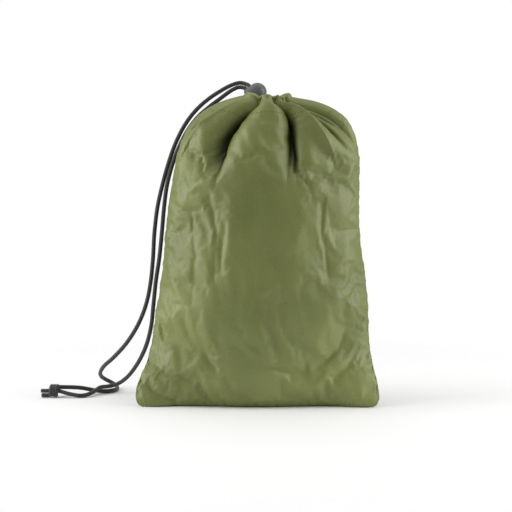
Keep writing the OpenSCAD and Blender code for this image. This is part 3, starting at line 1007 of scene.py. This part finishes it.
    def keep_off_the_cord(self, share: np.ndarray) -> None:
        """Holds the outer cloth off the drawcord's loop inside the hem.

        Args:
            share: Pleat depth share of each row, which is small on the turned-in part of the hem.
        """
        aside = self.points[..., :2] - np.array([self.neck_x, 0.0])
        r = np.linalg.norm(aside, axis=-1)
        least = self.cord_clear_r * smooth_step(264, 272, self.points[..., 2] / MM) * (share > self.turned_in_share)
        self.points[..., :2] += aside * (np.maximum(least - r, 0.0) / np.maximum(r, 1e-9))[..., None]

    @staticmethod
    def find_normals(points: np.ndarray) -> np.ndarray:
        """Finds the outward direction at each point of the closed grid."""
        across = np.roll(points, -1, axis=1) - np.roll(points, 1, axis=1)
        up = np.gradient(points, axis=0)
        normal = np.cross(across, up)
        size = np.linalg.norm(normal, axis=-1, keepdims=True)
        return normal / np.maximum(size, 1e-12)

    def fold_depth(self, turn: np.ndarray, share: np.ndarray) -> tuple[np.ndarray, np.ndarray]:
        """Adds up the folds that run down from the neck.

        Args:
            turn: Angle round the neck of each column, in degrees.
            share: Pleat depth share of each row.

        Returns:
            How far each point moves outwards, and how far it moves along the surface towards its fold, in metres.
        """
        z = self.points[..., 2] / MM
        total, along = np.zeros_like(z), np.zeros_like(z)
        for f in FOLDS:
            down = np.clip((self.neck_z - z) / (self.neck_z - f.foot_z), 0.0, 1.0)
            centre = f.neck_turn + (f.foot_turn - f.neck_turn) * down
            offset = (turn - centre + 180) % 360 - 180
            width = f.width * (1 - 0.25 * down)
            near = np.abs(offset) / width
            fade = 1 - smooth_step(0.3, 1.0, down)
            total -= f.depth * MM * fade * np.exp(-(near**f.sharp))
            pull = np.sign(offset) * np.minimum(near, 1.0) * np.exp(-((near / 1.3) ** 2))
            along -= self.pinch * max(f.depth, 0.0) * MM * fade * pull
        return total * share, along * share

    def crinkle_depth(self, turn: np.ndarray, share: np.ndarray) -> np.ndarray:
        """Adds up the crinkles, the soft dents of the filled cloth and the puckers along its seams.

        Args:
            turn: Angle round the neck of each column, in degrees.
            share: Pleat depth share of each row.

        Returns:
            How far each point moves outwards, in metres.
        """
        x, z = self.points[..., 0] / MM, self.points[..., 2] / MM
        front = np.broadcast_to(turn <= 90, x.shape)
        total = np.zeros_like(x)
        for c in CREASES:
            nearest = np.full(x.shape, 1e9)
            for (ax, az), (bx, bz) in zip(c.line[:-1], c.line[1:]):
                dx, dz = bx - ax, bz - az
                t = np.clip(((x - ax) * dx + (z - az) * dz) / (dx * dx + dz * dz), 0, 1)
                nearest = np.minimum(nearest, np.hypot(x - ax - t * dx, z - az - t * dz))
            hit = np.exp(-((nearest / c.width) ** c.sharp)) * c.depth * MM
            total -= np.where(front == (c.side is Side.FRONT), hit, 0)
        cos = np.abs(np.cos(np.radians(turn)))
        calm = smooth_step(0.05, 0.4, cos) * smooth_step(2, 22, z) * (1 - smooth_step(262, 280, z))
        edge = (1 - smooth_step(0.1, 0.5, cos)) * smooth_step(6, 24, z) * (1 - smooth_step(250, 276, z))
        dents = np.zeros_like(x)
        puckers = np.zeros_like(x)
        for i in range(x.shape[0]):
            for j in range(x.shape[1]):
                p = self.points[i, j] / MM
                dents[i, j] = soft_noise(p, (34, 30, 62))
                dents[i, j] += 0.5 * soft_noise(p, (13, 16, 30))
                puckers[i, j] = soft_noise(p, (30, 22, 11))
        total += dents * self.dent_depth * calm + puckers * self.pucker_depth * edge
        return total * np.where(share < 1, 0, 1)

    def panel(self, side: Side, material: bpy.types.Material) -> bpy.types.Object:
        """Makes one panel as its own cloth piece.

        Args:
            side: Which panel.
            material: The nylon.

        Returns:
            The panel with its thickness, hem and UV map, and how strongly each point is painted with the shade of the
            deep tucks, as an attribute.
        """
        first = 0 if side is Side.FRONT else self.columns
        picked = [(first + k) % (2 * self.columns) for k in range(self.columns + 1)]
        points = self.points[:, picked]
        low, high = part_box("front_panel")
        across = np.linspace(0, 1.04 * (high[0] - low[0]), self.columns + 1)[None, :]
        uv = np.stack(np.broadcast_arrays(across, self.flat[:, :1]), axis=-1)
        mesh = grid_sheet(points, uv, "cloth")
        if side is Side.BACK:
            self.back_tree = BVHTree.FromBMesh(mesh)
            inside = [f for f in mesh.faces if self.slit.holds(f.calc_center_median())]
            bmesh.ops.delete(mesh, geom=inside, context="FACES")
        piece = finish_mesh(mesh, f"{side.name.lower()}_cloth", material)
        slots = np.array([d.value for d in piece.data.attributes["slot"].data])
        # the painted shade of the deep tucks goes to the nylon as a point attribute
        painted_tuck_shade = piece.data.attributes.new("painted_tuck_shade", "FLOAT", "POINT")
        painted_tuck_shade.data.foreach_set("value", self.painted_tuck_shade[:, picked].ravel()[slots].astype(np.float32))
        skin = piece.modifiers.new("cloth_thickness", "SOLIDIFY")
        skin.thickness = self.cloth_t
        skin.offset = -1
        return piece


@dataclass
class DrawcordTail:
    """One free tail of the drawcord, as a braided tube along its route."""

    name: str
    route: list[tuple[float, float, float]]
    node: str
    sides: int = 24
    ring_gap: float = 0.42 * MM

    def build(self, material: bpy.types.Material) -> tuple[bpy.types.Object, np.ndarray]:
        """Sweeps the cord along its route.

        Args:
            material: The braided cord's finish.

        Returns:
            The piece and its centreline.
        """
        line = spline(self.route, self.ring_gap)
        mesh = tube(line, np.full(len(line), CORD_D / 2), self.sides, ridge=0.11 * MM)
        piece = finish_mesh(mesh, self.name, material)
        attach(piece, "bag")
        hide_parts(self.node)
        return piece, line


@dataclass
class StopperKnot:
    """The stopper knot: one tail wrapped two and a half times round the other, with two heat-sealed ends."""

    # all lengths in millimetres
    centre: tuple[float, float] = (27.5, 6.6)  # Y and Z of the line that the wraps go round
    wraps: float = 2.58
    wrap_steps: int = 12  # route points in one wrap
    wrap_pitch: float = 2.6
    end_x: float = -206.2
    strand_r: float = 1.95
    sealed_r: float = 0.18  # how much the melted end stands out
    ring_gap: float = 0.35
    sides: int = 20

    def build(self, material: bpy.types.Material) -> bpy.types.Object:
        """Makes the wraps and the two ends as one piece."""
        cy, cz = self.centre
        start = OUTER_ROUTE[-1]
        begin = math.atan2(start[2] - cz, start[1] - cy)
        wrap_r = math.hypot(start[1] - cy, start[2] - cz)
        wrapped = [
            (
                start[0] - self.wrap_pitch * k / self.wrap_steps,
                cy + wrap_r * math.cos(begin + math.tau * k / self.wrap_steps),
                cz + wrap_r * math.sin(begin + math.tau * k / self.wrap_steps),
            )
            for k in range(round(self.wraps * self.wrap_steps) + 1)
        ]
        last = wrapped[-1]
        wrapped += [(last[0] - 2.2, 26.2, 2.3), (last[0] - 5.2, 26, 2.2), (self.end_x, 26.3, 2.2)]
        core = [INNER_ROUTE[-1], (-193, 26.8, 6.7), (-197.5, 26.8, 6.7), (-201, 26.2, 6.4)]
        core.append((self.end_x - 0.5, 25.8, 6.5))
        knot = bmesh.new()
        for route in (wrapped, core):
            line = spline(route, self.ring_gap * MM)
            radius = np.full(len(line), self.strand_r * MM)
            left = (len(line) - 1 - np.arange(len(line))) * self.ring_gap * MM
            radius += self.sealed_r * MM * np.exp(-((left / (0.9 * MM)) ** 2))
            radius *= np.clip(np.sqrt(np.clip(left / (0.8 * MM), 0, 1)), 0.35, 1)
            part = tube(line, radius, self.sides, ridge=0.09 * MM)
            data = bpy.data.meshes.new("strand")
            part.to_mesh(data)
            part.free()
            knot.from_mesh(data)
            bpy.data.meshes.remove(data)
        piece = finish_mesh(knot, "tied_stopper_knot", material)
        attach(piece, "bag")
        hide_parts("stopper_knot")
        return piece


@dataclass
class HemSewing:
    """The line of lockstitch below the hem's tunnel and the buttonhole stitches round the cords' slit."""

    thread_d: float = 0.42 * MM
    stitch_l: float = 2.5 * MM
    gap: float = 0.9 * MM
    hem_z: float = 272 * MM
    lift: float = 0.12 * MM  # how far the thread's middle stands off the cloth
    rim_stitches: int = 46
    rim_thread_d: float = 0.6 * MM
    rim_lift: float = 0.2 * MM
    tack_stitches: int = 6
    tack_thread_d: float = 0.5 * MM
    tack_gap: float = 0.42  # millimetres
    tack_half: float = 3.1 * MM
    tack_lift: float = 0.35 * MM

    def hem_line(self, bag: GatheredBag, material: bpy.types.Material) -> bpy.types.Object:
        """Sews round the pleated hem.

        Args:
            bag: The bag whose surface the stitches follow.
            material: The thread.

        Returns:
            The piece with every stitch of the hem line.
        """
        column_z = bag.points[..., 2]
        outside = int(bag.rows * 0.86)  # the rows past this one are turned into the hem
        front_row = int(np.argmin(np.abs(column_z[:outside, bag.columns // 2] - self.hem_z)))
        ring = bag.points[front_row]
        out = bag.normals[front_row]
        closed = np.vstack([ring, ring[:1]])
        run = run_along(closed)
        outs = np.vstack([out, out[:1]])
        mesh = bmesh.new()
        count = int(run[-1] / (self.stitch_l + self.gap))
        for k in range(count):
            a = run[-1] * k / count
            ends = []
            for s in (a, a + self.stitch_l):
                p = Vector([np.interp(s, run, closed[:, i]) for i in range(3)])
                n = Vector([np.interp(s, run, outs[:, i]) for i in range(3)]).normalized()
                ends.append((p + n * self.lift, n))
            add_stitch(mesh, ends[0][0], ends[1][0], ends[0][1] + ends[1][1], self.thread_d)
        piece = finish_mesh(mesh, "hem_lockstitch", material)
        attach(piece, "bag")
        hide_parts("hem_stitching")
        return piece

    def buttonhole(self, bag: GatheredBag, material: bpy.types.Material) -> bpy.types.Object:
        """Sews the satin-stitched edge of the slit, with a bar tack at each end.

        Args:
            bag: The bag, with the search tree of its back cloth.
            material: The thread.

        Returns:
            The piece with every stitch of the buttonhole.
        """
        mesh = bmesh.new()
        outward = Vector((0, 1, 0))

        def on_cloth(x: float, z: float) -> Vector:
            """Finds the cloth's outer face behind the bag at that place."""
            hit = bag.back_tree.ray_cast(Vector((x, 0.06, z)), Vector((0, -1, 0)))[0]
            return hit if hit is not None else Vector((x, bag.slit.middle[1] * MM, z))

        for k in range(self.rim_stitches):
            turns = k / self.rim_stitches
            start, end = (on_cloth(*bag.slit.rim(turns, size)) for size in (0.93, 1.36))
            lift = outward * self.rim_lift
            add_stitch(mesh, start + lift, end + lift, outward, self.rim_thread_d)
        for way in (-1, 1):
            for k in range(self.tack_stitches):
                x = (bag.slit.middle[0] + way * (bag.slit.half_w * 1.3 + k * self.tack_gap)) * MM
                z = bag.slit.middle[2] * MM
                start, end = on_cloth(x, z - self.tack_half), on_cloth(x, z + self.tack_half)
                lift = outward * self.tack_lift
                add_stitch(mesh, start + lift, end + lift, outward, self.tack_thread_d)
        piece = finish_mesh(mesh, "slit_buttonhole", material)
        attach(piece, "bag")
        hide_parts("exit_bar_tacks")
        return piece


@dataclass
class SeamBinding:
    """The tape that binds the seam allowance inside the bag, with the lockstitch that holds it."""

    name: str
    clear: float = 2.8 * MM
    tape_w: float = 7.5 * MM
    tape_t: float = 1.1 * MM
    stitch_l: float = 2.5 * MM
    stitch_gap: float = 0.9 * MM
    thread_d: float = 0.4 * MM

    def seam(self, bag: GatheredBag) -> tuple[np.ndarray, np.ndarray]:
        """Reads the seam that this tape binds.

        Args:
            bag: The bag whose seam it is.

        Returns:
            Points along the seam, and the direction into the bag at each.
        """
        if self.name == "bottom":
            line = bag.points[0, 8 : bag.columns - 7]
            return line, np.broadcast_to([0.0, 0.0, 1.0], line.shape)
        column = bag.points[:, 0 if self.name == "left" else bag.columns]
        top = int(np.argmax(column[:, 2] > 264 * MM))
        line = column[12:top]
        return line, np.broadcast_to([1.0 if self.name == "left" else -1.0, 0.0, 0.0], line.shape)

    def build(self, bag: GatheredBag, tape: bpy.types.Material, thread: bpy.types.Material) -> None:
        """Makes the tape and its stitches.

        Args:
            bag: The bag whose seam is bound.
            tape: The tape's finish.
            thread: The thread's finish.
        """
        line, inward = self.seam(bag)
        widths = np.linspace(self.clear, self.clear + self.tape_w, 4)
        points = line[:, None, :] + inward[:, None, :] * widths[None, :, None]
        uv = np.stack(np.broadcast_arrays(np.arange(len(line))[:, None] * MM, widths[None, :]), axis=-1)
        ribbon = finish_mesh(grid_sheet(points, uv, "tape"), f"{self.name}_binding_tape", tape)
        wall = ribbon.modifiers.new("tape_thickness", "SOLIDIFY")
        wall.thickness = self.tape_t
        wall.offset = 0
        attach(ribbon, "bag")
        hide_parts(f"{self.name}_seam_binding")
        middle = points[:, 2] - np.array([0.0, self.tape_t / 2 + 0.05 * MM, 0.0])
        run = run_along(middle)
        mesh = bmesh.new()
        for k in range(int(run[-1] / (self.stitch_l + self.stitch_gap))):
            a = k * (self.stitch_l + self.stitch_gap)
            ends = (a, a + self.stitch_l)
            start, end = (Vector([np.interp(at, run, middle[:, i]) for i in range(3)]) for at in ends)
            add_stitch(mesh, start, end, Vector((0, -1, 0)), self.thread_d)
        sewing = finish_mesh(mesh, f"{self.name}_seam_lockstitch", thread)
        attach(sewing, "bag")
        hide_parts(f"{self.name}_seam_stitching")


@dataclass
class Studio:
    """The pale floor, the soft lights and the camera."""

    camera_at: tuple[float, float, float] = (-0.0014, -1.5, 0.269)
    pitch_down: float = 5.0  # degrees
    lens: float = 113.77
    floor_r: float = 1.2
    # each softbox's name, place, width and height, and power in watts
    softboxes: tuple[tuple[str, tuple[float, float, float], tuple[float, float], float], ...] = (
        ("left_softbox", (-1.0, -0.18, 0.42), (0.7, 1.1), 11),
        ("right_softbox", (1.0, -0.18, 0.42), (0.7, 1.1), 9.5),
        ("top_softbox", (0.0, 0.3, 1.5), (2.0, 1.8), 12),
    )
    surround: float = 0.34  # how strongly the white surround lights the bag

    def camera(self) -> None:
        """Sets up the camera, level with the bag's top and tipped slightly down."""
        data = bpy.data.cameras.new("camera")
        data.lens = self.lens
        data.sensor_width = 36
        data.clip_start, data.clip_end = 0.1, 20
        camera = bpy.data.objects.new("camera", data)
        camera.location = self.camera_at
        camera.rotation_euler = (math.radians(90 - self.pitch_down), 0, 0)
        bpy.context.scene.collection.objects.link(camera)
        bpy.context.scene.camera = camera

    def floor(self) -> None:
        """Lays a round of white paper under the bag, which fades into the white surround."""
        mesh = bmesh.new()
        bmesh.ops.create_circle(mesh, cap_ends=True, segments=96, radius=self.floor_r)
        piece = finish_mesh(mesh, "studio_floor", StudioPaper().build())

    def softbox(self, name: str, at: tuple[float, float, float], size: tuple[float, float], watts: float) -> None:
        """Hangs one softbox that faces the bag's middle.

        Args:
            name: Name of the light.
            at: Its place.
            size: Width and height of its face.
            watts: Its power.
        """
        data = bpy.data.lights.new(name, "AREA")
        data.shape = "RECTANGLE"
        data.size, data.size_y = size
        data.energy = watts
        light = bpy.data.objects.new(name, data)
        light.location = at
        light.rotation_euler = (Vector(at) - Vector((0, 0, 0.14))).to_track_quat("Z", "Y").to_euler()
        bpy.context.scene.collection.objects.link(light)

    def lights(self) -> None:
        """Lights the bag from both sides, with a weak light above and a white surround."""
        for name, at, size, watts in self.softboxes:
            self.softbox(name, at, size, watts)
        world = bpy.data.worlds.new("studio")
        world.use_nodes = True
        tree = world.node_tree
        sky = tree.nodes["Background"]
        sky.inputs["Color"].default_value = (1, 1, 1, 1)
        seen = add_node(tree, "ShaderNodeLightPath")
        strength = add_node(
            tree,
            "ShaderNodeMapRange",
            {"Value": seen.outputs["Is Camera Ray"], "To Min": self.surround, "To Max": 1.0},
        )
        tree.links.new(strength.outputs["Result"], sky.inputs["Strength"])
        bpy.context.scene.world = world
        bpy.context.scene.view_settings.view_transform = "Standard"


def dress_cad_nodes(finishes: dict[str, bpy.types.Material]) -> None:
    """Gives each carried-over CAD node its finish.

    Args:
        finishes: Material for each of the record's slots.
    """
    for row in frame["record"]["subparts"]:
        node = bpy.data.objects.get(row["node"])
        if node is None or row["material_slot"] not in finishes:
            continue
        node.data.materials.clear()
        node.data.materials.append(finishes[row["material_slot"]])


def press_spring() -> None:
    """Finds the return spring's seat, its point farthest along the way the plunger goes in, and gives the spring its
    own copy of its mesh; the spring keeps its shape.
    """
    spring = bpy.data.objects["lock_spring"]
    points = np.array([v.co for v in spring.data.vertices], float)
    along = points @ np.array(PRESS_AXIS)
    seat = points[int(along.argmax())]
    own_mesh(spring)


def main() -> None:
    """Builds the studio, the cords, the cloth and the sewing in order."""
    studio = Studio()
    studio.camera()
    cord_finish = BraidedPolyester().build()
    outer, outer_line = DrawcordTail("outer_cord", OUTER_ROUTE, "outer_tail").build(cord_finish)
    inner, inner_line = DrawcordTail("inner_cord", INNER_ROUTE, "inner_tail").build(cord_finish)
    knot = StopperKnot().build(cord_finish)
    nylon = CoatedNylon().build()
    bag = GatheredBag()
    bag.lay_out()
    thread = SewingThread().build()
    for side in Side:
        cloth = bag.panel(side, nylon)
        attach(cloth, "bag")
        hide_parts(f"{side.name.lower()}_panel", f"{side.name.lower()}_hem")
        log.info("%s: %d faces", cloth.name, len(cloth.data.polygons))
    sewing = HemSewing()
    sewing.hem_line(bag, thread)
    sewing.buttonhole(bag, thread)
    tape = WovenTape().build()
    for name in ("left", "right", "bottom"):
        SeamBinding(name).build(bag, tape, thread)
    dress_cad_nodes(
        {
            "binding_tape": tape,
            "thread": thread,
            "drawcord": cord_finish,
            "lock_plastic": MouldedAcetal().build(),
            "spring_wire": SpringWire().build(),
        }
    )
    press_spring()
    studio.floor()
    studio.lights()


if __name__ == "__main__":
    main()
